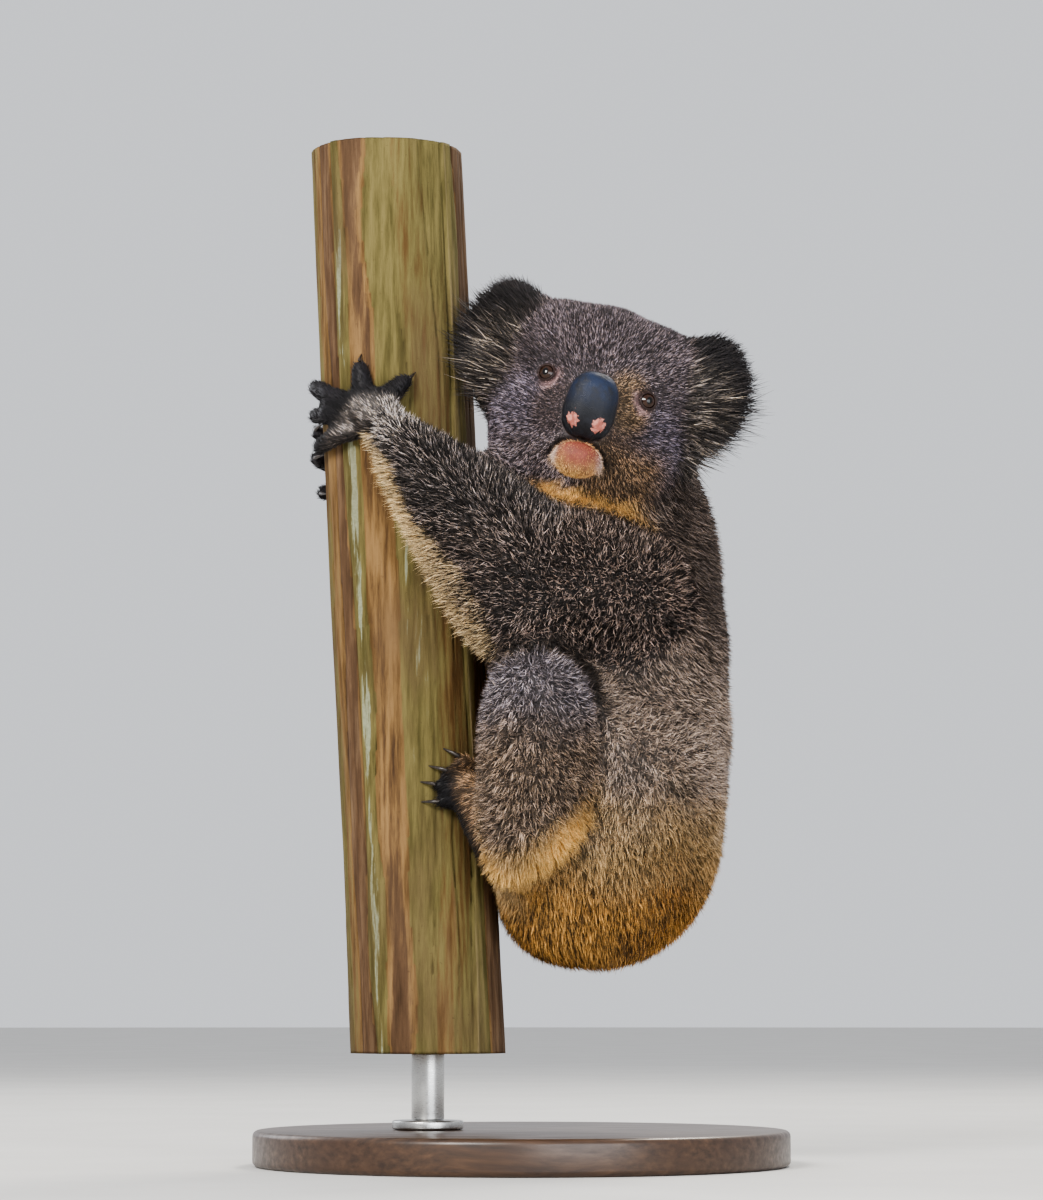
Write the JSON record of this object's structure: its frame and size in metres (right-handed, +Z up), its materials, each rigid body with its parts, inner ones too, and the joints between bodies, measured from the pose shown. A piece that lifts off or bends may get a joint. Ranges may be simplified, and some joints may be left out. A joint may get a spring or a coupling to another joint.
{
  "type": "koala on a perch",
  "caption": "Life-size still model of a koala clinging to a cut length of tree trunk, head turned to the side, on a round display stand.",
  "frame": {"origin": "middle of the stand base's underside", "axes": "+Z up; the koala faces -X, with its left side and its turned head towards -Y"},
  "size_m": [0.36, 0.36, 0.69],
  "materials": {
    "fur": "dense grizzled grey-brown fur",
    "nose": "bare leathery skin, satin",
    "eye": "polished, opaque brown",
    "claw": "dark horn, satin",
    "bark": "rough stripped bark",
    "base": "dark oiled wood",
    "steel": "brushed"
  },
  "bodies": {
    "root": {"ear_left": "fur", "ear_right": "fur", "eye_left": "eye", "eye_right": "eye", "foot_left": "fur", "foot_left_claw_2": "claw", "foot_left_claw_3": "claw", "foot_left_claw_4": "claw", "foot_left_claw_5": "claw", "foot_right": "fur", "foot_right_claw_2": "claw", "foot_right_claw_3": "claw", "foot_right_claw_4": "claw", "foot_right_claw_5": "claw", "forearm_left": "fur", "forearm_right": "fur", "hand_left": "fur", "hand_left_claw_1": "claw", "hand_left_claw_2": "claw", "hand_left_claw_3": "claw", "hand_left_claw_4": "claw", "hand_left_claw_5": "claw", "hand_right": "fur", "hand_right_claw_1": "claw", "hand_right_claw_2": "claw", "hand_right_claw_3": "claw", "hand_right_claw_4": "claw", "hand_right_claw_5": "claw", "head": "fur", "neck": "fur", "nose": "nose", "perch": "bark", "shin_left": "fur", "shin_right": "fur", "stand_base": "base", "stand_collar": "steel", "stand_rod": "steel", "thigh_left": "fur", "thigh_right": "fur", "torso": "fur", "upper_arm_left": "fur", "upper_arm_right": "fur"}
  },
  "joints": []
}
